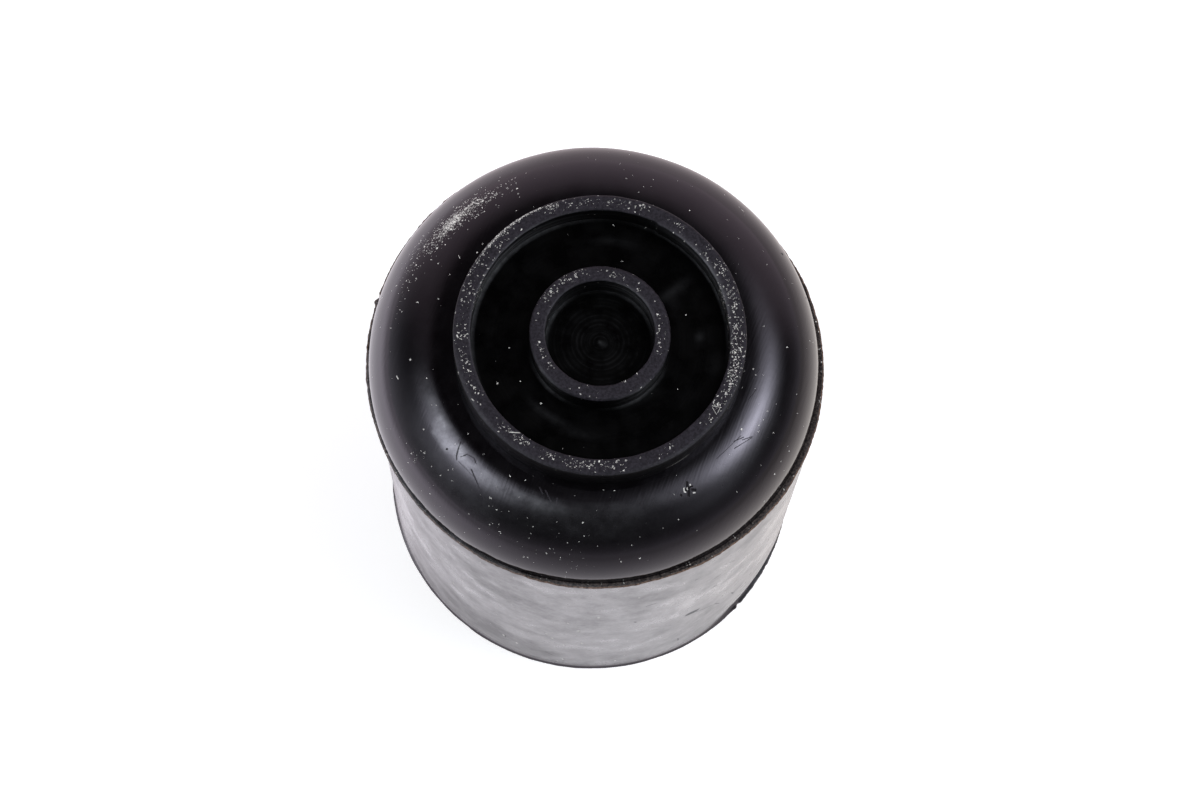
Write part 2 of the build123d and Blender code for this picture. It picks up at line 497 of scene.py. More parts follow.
# where dust lies: azimuth and radius of each patch, its spread along and across in mm, and how thick it is
dustPatches = [
    # powder smeared on the shoulder, mostly at the back on the left
    (142, 16.05, 1, 0.3, 1.1), (141, 16, 1.7, 0.42, 0.6), (147, 16.25, 1, 0.4, 0.5),
    (134, 15.75, 0.9, 0.4, 0.5), (127, 15.6, 1.4, 0.6, 0.16), (153, 16.6, 1, 0.5, 0.24),
    (162, 16.9, 2.2, 0.5, 0.14), (215.5, 17.4, 0.45, 0.3, 0.3), (222, 16.6, 1.5, 0.7, 0.02),
    (258, 16.8, 4, 1.2, 0.02),
    # the outer ring, from its right side round the back
    (353, 10.95, 1.3, 0.36, 0.7), (8, 11, 1.8, 0.34, 0.55), (22, 11, 1.2, 0.3, 0.35),
    (40, 11.15, 1.9, 0.28, 0.25), (10.5, 10.35, 0.4, 0.08, 1.2), (21, 10.33, 0.3, 0.07, 1.2),
    (58.5, 11.2, 0.3, 0.2, 0.9), (76, 11.3, 0.25, 0.22, 0.8), (84, 11.25, 0.9, 0.25, 0.3),
    (104, 11.2, 1.6, 0.3, 0.2), (113.5, 11.3, 0.3, 0.2, 0.8), (135, 11.68, 2.4, 0.1, 1.7),
    (146, 11.6, 1.2, 0.12, 0.7), (122, 11.7, 1, 0.08, 0.9), (143, 11, 1.2, 0.3, 0.25),
    (164, 11.35, 2, 0.3, 0.35), (162, 10.5, 0.8, 0.06, 0.9), (186, 10.95, 0.15, 0.25, 1),
    (199, 11.1, 2, 0.2, 0.4), (231, 10.95, 0.45, 0.12, 1.1), (239.5, 10.9, 0.5, 0.12, 0.9),
    (252, 10.9, 0.3, 0.15, 0.7), (265, 11.05, 0.8, 0.22, 0.7), (278, 11, 0.7, 0.3, 0.35),
    (303, 11.1, 0.5, 0.2, 0.4), (343, 11.15, 1, 0.28, 0.8), (332, 11.1, 0.8, 0.3, 0.4),
    # the inner ring
    (357, 4.85, 0.7, 0.2, 0.5), (23, 4.95, 0.12, 0.15, 1), (54, 4.75, 0.2, 0.08, 1.2),
    (80, 5, 0.7, 0.2, 0.4), (114, 5.35, 0.5, 0.18, 0.8), (128, 5.3, 0.3, 0.2, 0.7),
    (146, 5.35, 0.5, 0.22, 0.8), (203, 5, 0.4, 0.12, 1), (216, 5, 0.5, 0.15, 0.4),
    (299, 4.5, 0.08, 0.06, 1.6),
]

# faint films in the same terms, mottled by the finish they lie on; on the shoulder and the rings' outer
# walls they are partly painted light
hazeAndPaintedLightPatches = [
    # wiped dust in the recess
    (40, 7.4, 0.25, 1, 0.02), (34, 6.7, 0.6, 0.2, 0.02), (240, 7.6, 1.3, 0.2, 0.025),
    (262, 7.95, 1, 0.2, 0.015), (7, 8.1, 0.3, 0.2, 0.035), (352, 9.6, 0.6, 0.3, 0.02),
    (87, 8.6, 1.2, 0.2, 0.012),
    # a pale film on the shoulder, most of it on the left: partly bloom and partly painted highlight, laid
    # over the lamps' highlights and the faint band at the front; and a touch on the pip in the middle
    (214, 14.3, 1.6, 0.35, 0.22), (224, 14.6, 1.6, 0.5, 0.2), (233, 14.5, 1.6, 0.45, 0.16),
    (244, 14.4, 2, 0.4, 0.14), (254, 14.1, 1.4, 0.3, 0.14), (205, 14.5, 1.6, 0.4, 0.1),
    (328, 14.6, 3, 0.6, 0.06), (285, 13.8, 3.6, 0.5, 0.05), (272, 15.2, 4.5, 0.8, 0.03),
    (228, 16.4, 4, 0.8, 0.05), (0, 0, 0.1, 0.1, 0.05),
    # the walls of the rings, where the marks of the cutter catch the dust; on the outer walls at the front
    # left and right the lighter band is partly a painted reflection of the lamps
    (148, 10.4, 4.5, 0.1, 0.22), (37, 10.4, 3.2, 0.1, 0.24), (195, 10.4, 3, 0.1, 0.08),
    (160, 4.4, 1.8, 0.1, 0.17), (50, 4.4, 1.8, 0.1, 0.17), (225, 5.7, 1.2, 0.1, 0.17),
    (312, 5.7, 1.4, 0.1, 0.2), (225, 11.75, 4.6, 0.12, 0.1), (318, 11.75, 4.6, 0.12, 0.1),
]

# painted highlight on the left of the shoulder, with a sharp edge: the first two patches lighten where the
# left lamp's highlight is brightest, and the last two darken inside it as painted shade
highlightPaintPatches = [(217.5, 14.62, 2, 0.68, 0.3), (231, 14.4, 2.2, 0.5, 0.08),
                 (227.5, 14.25, 0.5, 0.2, -0.3), (218, 14.05, 1.2, 0.3, -0.3)]

# patches of the wall in mm: azimuth, height, spread along and up, and how much lighter the place is
wallPatches = [
    (229, 17, 1.8, 2.5, 0.15), (258, 17.5, 2.2, 1.2, 0.45), (252, 10.5, 1.2, 2, 0.3),
    (262, 9.2, 1.5, 0.8, 0.3), (256, 13, 2, 0.5, 0.2), (207, 14, 1.6, 12, 0.6), (214, 21, 1.5, 5, 0.35),
    (300, 21, 3, 2.5, 0.25), (325, 20, 2.5, 9, 0.15), (336, 18, 2.2, 12, 0.6), (300, 16, 2.5, 1.2, 0.2),
    (285, 29, 3, 1.5, 0.12), (238, 6, 3.2, 3.2, -0.5), (250, 6, 2, 1.5, -0.35), (257, 11, 1.6, 1.2, -0.3),
    (262, 4, 2.5, 1.2, -0.3), (228, 6, 2.6, 4.5, -0.35), (246, 24, 2.5, 1.8, -0.2),
    (238, 27, 2, 1.5, -0.15), (262, 23, 2, 1.5, -0.15), (290, 13, 1.6, 0.7, -0.3),
    (312, 10, 2.4, 1.4, -0.3), (305, 5, 3, 1.2, -0.25), (303, 13.3, 2.4, 1.2, -0.2),
]

# the levels and the wavering edges that go with the patches, in mm and degrees
dirt = {
    "dustAll": 0.0015,  # a trace of dust everywhere
    "dustHead": 0.002,  # and more on the head
    "dustTops": 0.012,  # and on the flat tops of the rings
    "dustMost": 2.2,
    # where it starts and is whole, on the head from the parting line and the crown, and on the tops
    # from the tread
    "headEdge": (-0.4, -2.5),
    "topEdge": (-0.3, -0.1),
    "wiped": 13.8,  # the film and the highlight painted into it end inside this radius,
    "wipedBulge": [(-0.5, 292, 26)],  # and further in at the front
    "wipedWaves": [(0.05, 20, 9, 60, 0.3)],
    "wipedEdge": (-0.06, 0.2),
    # the wavering sharp edges of the painted highlight patches
    "rubbedWaves": [(0.05, 21, 20, 90, 0.3)],
    "rubbedEdge": (0.5, 0.62),
    "lipFilm": [(0.36, 210, 32)],  # what lies on the flash at the left
}


def dustLayers(points):
    # thin dust on the head, more on the ring tops, and a bell for each patch:
    # strength * exp(-(along / spread)^2 / 2 - (across / spread)^2 / 2)
    t = tip
    x, y, height = np.moveaxis(points, -1, 0)
    turn, radius = np.arctan2(y, x), np.hypot(x, y)
    angle = np.degrees(turn)
    low, high = dirt["headEdge"]
    head = smoothStep(t["parting"] + low, t["crown"] + high, height)
    low, high = dirt["topEdge"]
    ringTops = smoothStep(t["height"] + low, t["height"] + high, height)
    inRecess = (radius < t["outerRing"][0] + 0.1) * (1 - ringTops)

    def bell(azimuth, middle, along, across, level=radius, reach=None):
        away = np.radians((angle - azimuth + 180) % 360 - 180) * (reach or middle)
        return np.exp(-((away / along) ** 2 + ((level - middle) / across) ** 2) / 2)

    dust = dirt["dustAll"] + dirt["dustHead"] * head * (1 - inRecess) + dirt["dustTops"] * ringTops
    for *patch, strength in dustPatches:
        dust = dust + strength * bell(*patch) * (ringTops if patch[1] < t["crownRadius"] else head)

    # the film on the shoulder, with the highlight painted into it, stops short of the ring at a wavering
    # edge, which is the painted highlight's sharp inner edge
    haze = np.zeros_like(dust)
    wiped = dirt["wiped"] + edgeLine(turn, dirt["wipedWaves"], dirt["wipedBulge"])
    before, behind = dirt["wipedEdge"]
    kept = np.where(radius > t["crownRadius"], smoothStep(wiped + before, wiped + behind, radius), 1)
    kept = np.where(np.abs(radius - t["outerRing"][1]) < 0.1, ringTops, kept)
    for *patch, strength in hazeAndPaintedLightPatches:
        haze = haze + strength * bell(*patch) * (height > t["parting"])
    # the painted highlight and painted shade on the left of the shoulder, with sharp wavering edges
    rough = edgeLine(turn, dirt["rubbedWaves"])
    for *patch, strength in highlightPaintPatches:
        haze = haze + strength * smoothStep(*dirt["rubbedEdge"], bell(*patch) + rough)
    haze = haze * kept
    onLip = (height < t["parting"] + 0.02) & (radius > t["headRadius"] + 0.05) & (height > t["lipAbove"])
    haze = haze + onLip * edgeLine(turn, (), dirt["lipFilm"])

    # on the wall the same layer says how much lighter or darker than its surroundings a place is
    inWall = (height < t["parting"] - t["flashThickness"] + 0.1) & (radius > t["mouthRadius"] - 1)
    for *patch, strength in wallPatches:
        haze = haze + inWall * strength * bell(*patch, height, t["mouthRadius"])
    return np.clip(dust, 0, dirt["dustMost"]), haze


def buildTip():
    # every row of the section is carried once round: x = shift + radius * cos, y = shift + radius * sin
    t = tip
    parts = tipSection()
    rows = np.concatenate(list(parts.values()))
    ends = np.cumsum([len(part) for part in parts.values()])
    run = {name: slice(end - len(parts[name]), end) for name, end in zip(parts, ends)}
    count, columns = len(rows), t["columns"]
    turn = np.arange(columns) / columns * 2 * math.pi
    angle = np.repeat(turn[None], count, 0)
    radius = np.repeat(rows[:, :1], columns, 1)
    height = np.repeat(rows[:, 1:], columns, 1)

    # the halves of the mould and the cutter weren't in line, so the runs have axes of their own
    shift = np.zeros((count, 2))
    shift[run["shoulder"]] = t["headShift"]
    shift[run["rings"].stop - 1] = t["headShift"]
    shift[run["lip"]] = t["flashShift"]
    shift[run["lip"].start] = t["headShift"]
    onTread = rows[:, 1] > t["treadAbove"]
    nearMiddle = smoothStep(*t["innerReach"], rows[:, 0]) * onTread
    shift += nearMiddle[:, None] * t["innerRingShift"]
    shift[rows[:, 0] < 0.5] = t["pipShift"]
    onOuterEdge = (np.abs(rows[:, 0] - t["outerRing"][1] + 0.1) < 0.16) & onTread
    shift[onOuterEdge] = t["outerEdgeShift"]

    # the flash moves most at its rim, and less towards the crease
    lip, wall, mouth, shoulder = (run[name] for name in ("lip", "wall", "mouth", "shoulder"))
    torn = edgeLine(turn, t["flashWaves"], t["flashBulges"]) - t["trim"]
    radius[lip] += np.outer(t["lipYield"], torn)
    height[lip] += np.outer(t["lipDroop"], edgeLine(turn, t["flashDroop"]))

    # the mouth's flash is rougher where it spreads, and the wall draws in over it
    spread = edgeLine(turn, (), t["spread"])
    edge = edgeLine(turn, t["mouthWaves"], t["mouthBulges"]) - t["spreadTrim"] * spread
    edge += edgeLine(turn, t["mouthRough"]) * (t["roughLeast"] + spread)
    radius[mouth] += np.outer(t["mouthYield"], edge)
    waist = t["waist"] * spread * smoothStep(*t["waistTop"], height[wall])
    waist = waist * smoothStep(*t["waistFoot"], height[wall])
    radius[wall] += t["mouthFlare"] * smoothStep(*t["flareTop"], height[wall]) - waist

    # slow waves that die out towards the ends of each run
    down = smoothStep(*t["wavesTop"], height[wall]) * smoothStep(*t["wavesFoot"], height[wall])
    leaning = turn + t["rippleLean"] * height[wall]
    radius[wall] += edgeLine(turn, t["wallWaves"]) * down
    radius[wall] += edgeLine(leaning, t["wallRipples"]) * down
    swell = np.sin(np.linspace(0, math.pi, shoulder.stop - shoulder.start))[:, None]
    radius[shoulder] += edgeLine(turn, t["shoulderWaves"]) * swell
    height[shoulder] += edgeLine(turn, t["shoulderRolls"]) * swell
    radius[run["rings"]] += edgeLine(turn, t["ringWaves"])

    degrees = np.degrees(turn)
    second = smoothStep(*t["cutStart"], degrees) * smoothStep(*t["cutEnd"], degrees)
    cut = t["firstCut"] - t["secondCut"] * second
    cut -= t["cutOverlap"] * smoothStep(*t["overlapStart"], degrees)
    radius[np.abs(rows[:, 0] - t["outerRing"][0] - 0.08) < 0.16] += cut

    points = np.stack([shift[:, :1] + radius * np.cos(angle), shift[:, 1:] + radius * np.sin(angle),
                       height], -1)
    treadPole = (*t["pipShift"], rows[0, 1] + 0.003)
    points = np.concatenate([points.reshape(-1, 3), [treadPole, (0, 0, t["socketDepth"])]])

    # quads between the rows, and a fan at each end, all turned so that they face out
    i, j = np.meshgrid(np.arange(count - 1), np.arange(columns), indexing="ij")
    here, beside = i * columns + j, i * columns + (j + 1) % columns
    quads = np.stack([here, here + columns, beside + columns, beside], -1).reshape(-1, 4)
    last = (count - 1) * columns
    treadFan = np.stack([np.full(columns, count * columns), here[0], beside[0]], -1)
    socketFan = np.stack([last + here[0], np.full(columns, count * columns + 1), last + beside[0]], -1)
    mesh = bpy.data.meshes.new("rubberTip")
    mesh.from_pydata(points * mm, [], quads.tolist() + treadFan.tolist() + socketFan.tolist())

    # each row of faces takes the finish of its place, and what no place claims is moulded
    finishes = list(rubber)
    middle = (rows[1:] + rows[:-1]) / 2
    finish = np.zeros(count - 1, int)
    onRings = (middle[:, 0] < t["outerRing"][1] + 0.02) & (middle[:, 1] > t["treadAbove"])
    upright = np.abs(np.diff(rows[:, 0])) < 0.02
    for place, name in ((onRings, "turnedRubber"), (onRings & upright, "cutRubber"),
                        (onRings & (middle[:, 1] > t["height"] - 0.1), "scuffedRubber"),
                        (slice(lip.start, lip.start + 3), "pinchedRubber"),
                        (slice(lip.start + 3, lip.stop), "tornRubber"),
                        (slice(wall.start, wall.stop - 2), "bloomedRubber"),
                        (slice(mouth.start + 2, mouth.stop - 1), "tornRubber"),
                        (mouth.stop - 1, "scuffedRubber")):
        finish[place] = finishes.index(name)
    fans = [np.full(columns, finishes.index(name)) for name in ("turnedRubber", "mouldedRubber")]
    faceFinish = np.concatenate([np.repeat(finish, columns), *fans])
    mesh.polygons.foreach_set("material_index", faceFinish.astype(np.int32))

    # the haze layer also carries the painted highlights on the shoulder and the painted reflections on the
    # rings' outer walls
    for layer, values in zip(("dust", "haze"), dustLayers(points)):
        mesh.attributes.new(layer, "FLOAT", "POINT").data.foreach_set("value", values.astype(np.float32))
    mesh.shade_smooth()
    mesh.set_sharp_from_angle(angle=math.radians(t["sharpAngle"]))
    mesh.update()
    body = bpy.data.objects.new("rubberTip", mesh)
    bpy.context.scene.collection.objects.link(body)
    print("tip built,", 2 * len(quads) + 2 * columns, "triangles")
    return body


# Carbon-black rubber: a very dark body under a half-gloss skin that copies the mould's own surface.
# base and haze are the clean and the dusty colour, and gloss is the roughness in the smooth and in the
# worn places. The noises give the size of each pattern in mm, or its sizes along X, Y and Z. relief is
# the height in mm of the skin's unevenness, and specks is how much of the dust the finish holds.
rubber = {
    # moulded against polished steel, so the lamps stand in it as soft, clean highlights
    "mouldedRubber": {
        "base": "020102", "haze": "080708", "gloss": (0.06, 0.13), "ior": 1.55,
        "tint": (0.94, 0.86, 1, 1), "specks": 1.0, "relief": 0.004,
        "noises": {"cloud": 2.4, "uneven": 0.8, "rubbed": (0.16, 2.2, 0.7), "mottle": 0.9},
    },
    # turned with a pointed cutter, so the floors of the recesses are matt with faint rings; the pure black
    # base and the weak reflection of the low IOR are painted shade, a darkened copy of the rubber for the
    # recesses
    "turnedRubber": {
        "base": "000000", "haze": "030303", "gloss": (0.26, 0.34), "ior": 1.13,
        "tint": (1, 0.95, 1, 1), "specks": 0.6, "relief": 0.004,
        "noises": {"cloud": 1.6, "uneven": 0.5, "rings": (0.2, 1, 0.12), "broken": 1.6, "mottle": 0.9},
    },
    # cut by the side of the tool, so the walls of the rings show level furrows where dust has caught
    "cutRubber": {
        "base": "010101", "haze": "080808", "gloss": (0.4, 0.6), "ior": 1.25,
        "tint": (0.94, 0.9, 1, 1), "specks": 0.6, "relief": 0.006,
        "noises": {"cloud": (0.6, 0.6, 0.3), "uneven": (0.5, 0.5, 0.2), "rings": (0.2, 1, 0.12),
                   "broken": 1.6, "furrows": (14, 14, 0.13)},
    },
    # scuffed by use on the ground, so the flat rims are an even dark grey with a fine tooth
    "scuffedRubber": {
        "base": "171519", "haze": "2d2a30", "gloss": (0.5, 0.6), "ior": 1.28,
        "tint": (0.94, 0.88, 1, 1), "specks": 0.8, "relief": 0.008,
        "noises": {"cloud": 0.18, "uneven": 0.14, "mottle": 0.9},
    },
    # squeezed thin between the halves of the mould, so the top of the flash is dark, rough and dusty
    "pinchedRubber": {
        "base": "191617", "haze": "584f4c", "gloss": (0.4, 0.7), "ior": 1.4,
        "tint": (1, 0.92, 0.95, 1), "specks": 30, "relief": 0.03,
        "noises": {"cloud": (0.2, 0.2, 0.16), "uneven": 0.18, "mottle": 0.9},
    },
    # torn off along the parting line, so its edge is a granular, brownish fringe
    "tornRubber": {
        "base": "33231c", "haze": "876b5c", "gloss": (0.5, 0.7), "ior": 1.4,
        "tint": (1, 0.95, 0.9, 1), "specks": 10, "relief": 0.03,
        "noises": {"cloud": 0.2, "uneven": 0.16, "mottle": 0.9},
    },
    # moulded, with wax bloomed to its surface, so the wall is a cloudy grey that is palest edge-on
    "bloomedRubber": {
        "base": "1d1b1e", "haze": "736f74", "gloss": (0.52, 0.2), "ior": 1.58,
        "tint": (0.98, 0.94, 1, 1), "specks": 1.0, "relief": 0.006,
        "noises": {"cloud": 2.6, "broad": 7.8, "fine": (0.35, 0.35, 0.3), "uneven": (1.2, 1.2, 0.8)},
        # the bloom's own light edge-on, constant because a linked sheen would be lost in the export
        "sheen": {"Sheen Weight": 0.5, "Sheen Roughness": 0.33, "Sheen Tint": (1, 0.96, 0.97, 1)},
    },
}
# the dust's white, which also paints the glints on the head
dustAndGlintColour = "fbf8f2"
# the film's pale colour, which also paints the highlights and reflections that the haze layer carries
filmAndPaintedLightColour = "a9a9ae"
cutColour = "0b0b12"

# how many finer layers each noise has
noiseDetail = {"cloud": 4, "broad": 2, "fine": 3, "uneven": 3, "rubbed": 3, "rings": 2, "broken": 3,
               "mottle": 6, "furrows": 2, "bend": 2, "layer": 4}

# how the patterns are used: ranges are the values of a noise that become 0 and 1
dressing = {
    "detail": 0.6,  # how strong each finer layer of a noise is beside the one before
    "softDetail": 0.5,  # and in the rub marks and the dust's outlines
    "cloudRange": (0.38, 0.62),  # clean and wholly hazy, on the head and on the wall
    "wallRange": (0.32, 0.66),
    # the wall's cloud is a sum of its noises, the film and the cuts, each by a weight
    "wallShares": {"cloud": 0.5, "broad": 0.3, "fine": 0.2, "film": 0.22, "cuts": -0.3},
    "wallCut": 0.95,  # how much of a cut's own colour shows
    "rubbedTurn": (0, 0, -0.3),  # the rub marks run a little off Y
    "rubbedRelief": 0.005,  # mm
    "ringRelief": 0.006,
    "cutRelief": -0.12,
    "centreRings": (4.4, 2.6, 0.1),  # the cutter's rings show inside these radii, and this much outside
    "brokenRange": (0.4, 0.65),
    "ringRange": (0.46, 0.7),
    "ringFilm": 0.03,
    # the noise's range and the film's strength at each end of it
    "mottle": (0.32, 0.66, 0.5, 1.3),
    "furrows": (0.5, 0.6, 0.12, 1.5),
    "wornFilm": 0.2,  # the film's strength in a scratch and in a cut
    "cutFilm": 0.1,
    "wornGloss": 0.75,  # roughness of a scratch, of a cut, and of dust and the painted glints
    "cutGloss": 1.0,
    "dustGloss": 0.9,
    # real dust is about 0.02 mm, too fine to show, so it is drawn as grains of 0.1 mm and more, whose
    # outlines are bent by a noise of this size in mm, by this much, so that they aren't round
    "bendSize": 0.12,
    "bendReach": 0.3,
    # fine grains, coarser ones and short fibres: share of the dust, cell in mm, reach and turn
    "grains": [(0.8, 0.125, 0.5, (0, 0, 0)), (0.14, 0.22, 0.4, (0, 0, 0)),
               (0.14, (0.12, 0.5, 0.12), 0.36, (0.1, 0.2, 0.7)),
               (0.14, (0.12, 0.4, 0.12), 0.36, (0.2, -0.1, -0.9))],
    "ownReach": (0.5, 1.2),  # the least and the most of a grain's reach, and how soft its edge is
    "softEdge": 0.22,
    "bright": (0.8, 0.2),  # the chance from which a grain is at its brightest, and the faintest one
    "strokeEdge": (1.5, 0.5),  # half widths at which a thin mark starts and is whole
    # where dust lies thick it closes to a layer of this grain: weight of the dust, range and cover
    "layerSize": 0.13,
    "thick": 0.22,
    "thickRange": (0.78, 0.96),
    "thickCover": 0.95,
    "crumbCover": 0.8,
}

# thin marks from one point of the head to another, (x, y, x, y, half width) in mm: scratches in the skin,
# loose fibres and crumbs that lie on it with painted glints among them, and cuts that are dark inside
scratches = [
    (-10.6, -10.64, -9.29, -11.8, 0.02), (-10.43, -10.29, -10.05, -10.2, 0.03),
    (-3.95, -12.4, -3.66, -12.9, 0.04), (-3.46, -12.62, -2.96, -13.46, 0.04),
    (-2.49, -13.16, -2.53, -13.72, 0.03), (12.76, -6.75, 11.98, -7.15, 0.03),
    (12.08, -6.91, 11.3, -7.35, 0.03), (12.74, -6.84, 11.4, -7.9, 0.03),
    (10.68, -10.54, 10.62, -11.04, 0.03), (11.85, -6.82, 10.03, -8.89, 0.025),
    (12.23, -3.88, 12.85, -2.86, 0.03), (12.57, -1.95, 12.98, -1.19, 0.03),
    (-10.53, -9.13, -10.68, -9.65, 0.045), (-10.68, -9.65, -10.78, -10.21, 0.06),
    (-10.78, -10.21, -10.73, -10.53, 0.045), (-10.21, -10.2, -9.94, -10.08, 0.035),
    (-9.94, -10.08, -9.35, -10.39, 0.025), (-9.35, -10.39, -9.14, -10.83, 0.035),
    (-9.5, -11.28, -8.97, -12.25, 0.05), (-8.97, -12.25, -8.31, -13.5, 0.04),
]
fibresAndGlints = [
    (-6.62, -8.79, -5.48, -8.78, 0.025), (9.67, -6.04, 9.31, -5.49, 0.013),
    # from the last stroke on this line to the first one two lines down, the five strokes round the
    # star-shaped pit near (8, -11.5) are painted glints on its rim
    (10.02, -5.44, 9.27, -5.35, 0.015), (9.75, -5.9, 9.95, -5.4, 0.013), (8.04, -11.2, 8.05, -11.23, 0.06),
    (7.56, -11.53, 7.6, -11.75, 0.05), (7.62, -11.8, 7.72, -11.82, 0.05), (7.82, -11.5, 7.84, -11.6, 0.04),
    (8.34, -11.8, 8.46, -11.76, 0.05), (-16.2, -3.7, -16.05, -3.95, 0.05),
    # the last stroke on this line and the two on the next, up the outer ring's wall at the front right, are
    # a painted glint along the ring's foot
    (-11.35, 11.55, -10.75, 11.35, 0.035), (6.05, -10.14, 40.9, 6.5, -9.85, 40.92, 0.025),
    (6.5, -9.85, 40.92, 7.1, -9.44, 40.95, 0.035), (7.1, -9.44, 40.95, 7.75, -8.92, 41, 0.05),
]
cuts = [
    (7.79, -11.05, 7.8, -11.36, 0.07), (7.72, -11.62, 7.72, -11.67, 0.07), (7.96, -11.4, 8.22, -11.3, 0.05),
    (7.95, -11.5, 7.99, -12.05, 0.08), (8.24, -11.56, 8.48, -11.56, 0.08),
    (7.36, -12.08, 7.4, -12.12, 0.06), (14.41, 9.76, 14.43, 9.78, 0.1), (16.66, 6.45, 16.67, 6.46, 0.07),
    (-11.59, -9.72, -11.6, -9.7, 0.06),
]
# the same on the wall, with azimuth and height in place of x and y
wallDust = [
    (261.2, 12.7, 261.3, 12.4, 0.13), (262.8, 11.2, 262.9, 10.9, 0.11), (270, 15.7, 270.1, 15.2, 0.13),
    (267, 18.6, 267.1, 18.4, 0.09), (275, 21.6, 275.1, 21.2, 0.13), (248.5, 5.8, 248.6, 5.5, 0.1),
    (252.5, 4.8, 252.6, 4.5, 0.1), (266, 2.7, 266.1, 2.3, 0.1), (271, 10.6, 271.1, 10.3, 0.1),
    (266, 8.9, 266.1, 8.7, 0.09), (264.5, 1.4, 264.6, 1.2, 0.08), (281, 2.2, 281.1, 2, 0.08),
    (232.2, 14.1, 232.5, 13.6, 0.09),
]
wallCuts = [
    (301.2, 14.1, 303, 13.9, 0.36), (287.5, 23.8, 290, 24.2, 0.06), (300.5, 28, 301, 28, 0.08),
    (307, 23.9, 309, 23.9, 0.05), (306.5, 20.2, 309, 19.9, 0.06), (311.5, 26.3, 313, 25.8, 0.05),
    (249, 6, 249.1, 5.2, 0.07), (299.3, 4.8, 299.6, 3.6, 0.06), (285, 18.2, 285.3, 18, 0.08),
    (261, 4.5, 263, 3.8, 0.05), (290, 14.5, 296, 12.5, 0.04), (303.5, 13.3, 309, 11.8, 0.06),
    (301, 11.5, 306, 10.6, 0.04), (310, 11.4, 312, 10, 0.05), (316.4, 10.1, 317.4, 9, 0.06),
]


def skinHeight(x, y):
    # the tread inside the outer ring, the crown round it, and then the shoulder's quarter ellipse
    t = tip
    if math.hypot(x, y) < t["outerRing"][1]:
        return t["height"]
    reach = math.hypot(x - t["headShift"][0], y - t["headShift"][1]) - t["crownRadius"]
    share = min(1, max(0, reach) / (t["headRadius"] - t["crownRadius"]))
    return t["crown"] - t["shoulderRise"] * (1 - math.sqrt(1 - share ** 2))


def onHead(strokes):
    # the ends of each stroke brought up to the skin, where they don't give heights of their own
    placed = []
    for *ends, halfWidth in strokes:
        size = len(ends) // 2
        ends = [end if size > 2 else (*end, skinHeight(*end)) for end in (ends[:size], ends[size:])]
        placed.append([*map(Vector, ends), halfWidth])
    return placed


def onWall(strokes):
    # from azimuth and height to a place on the drafted wall
    return [[*(wallRadius(level) * direction(azimuth, 0) + Vector((0, 0, level))
               for azimuth, level in (ends[:2], ends[2:])), halfWidth] for *ends, halfWidth in strokes]


def grainMask(add, place, density, size, reach, turn):
    # one seed in each cell of the given size in mm, shown where its own chance is under the density,
    # each with a reach and a brightness of its own
    cells = add("Mapping", {"Vector": place, "Scale": np.broadcast_to(size, 3) * mm, "Rotation": turn},
                vector_type="TEXTURE")
    seed = add("TexVoronoi", {"Vector": cells, "Scale": 1.0})
    chance = add("SeparateColor", {0: seed.outputs["Color"]})
    shown = add("Math", {0: chance.outputs[0], 1: density}, operation="LESS_THAN")
    least, most = dressing["ownReach"]
    own = add("MapRange", {0: chance.outputs[1], 3: reach * least, 4: reach * most})
    inside = add("Math", {0: own, 1: seed.outputs["Distance"]}, operation="SUBTRACT")
    dot = add("MapRange", {0: inside, 2: reach * dressing["softEdge"]})
    full, faintest = dressing["bright"]
    bright = add("MapRange", {0: chance.outputs[2], 2: full, 3: faintest})
    dot = add("Math", {0: dot, 1: bright}, operation="MULTIPLY")
    return add("Math", {0: dot, 1: shown}, operation="MULTIPLY")


def strokeMask(add, place, strokes):
    # the distance from a stroke is the length of (place - start) - direction * (the share along it),
    # where the share is kept between the two ends
    outside, whole = dressing["strokeEdge"]
    mask = 0.0
    for start, end, halfWidth in strokes:
        start, end = start * mm, end * mm
        length, along = (end - start).length, (end - start).normalized()
        gone = add("VectorMath", {0: place, 1: start}, operation="SUBTRACT")
        share = add("VectorMath", {0: gone, 1: along}, operation="DOT_PRODUCT")
        kept = add("MapRange", {0: share, 2: length, 4: length})
        foot = add("VectorMath", {0: along, "Scale": kept}, operation="SCALE")
        gap = add("VectorMath", {0: gone, 1: foot}, operation="DISTANCE")
        line = add("MapRange", {0: gap, 1: halfWidth * mm * outside, 2: halfWidth * mm * whole})
        mask = add("Math", {0: mask, 1: line}, operation="MAXIMUM")
    return mask


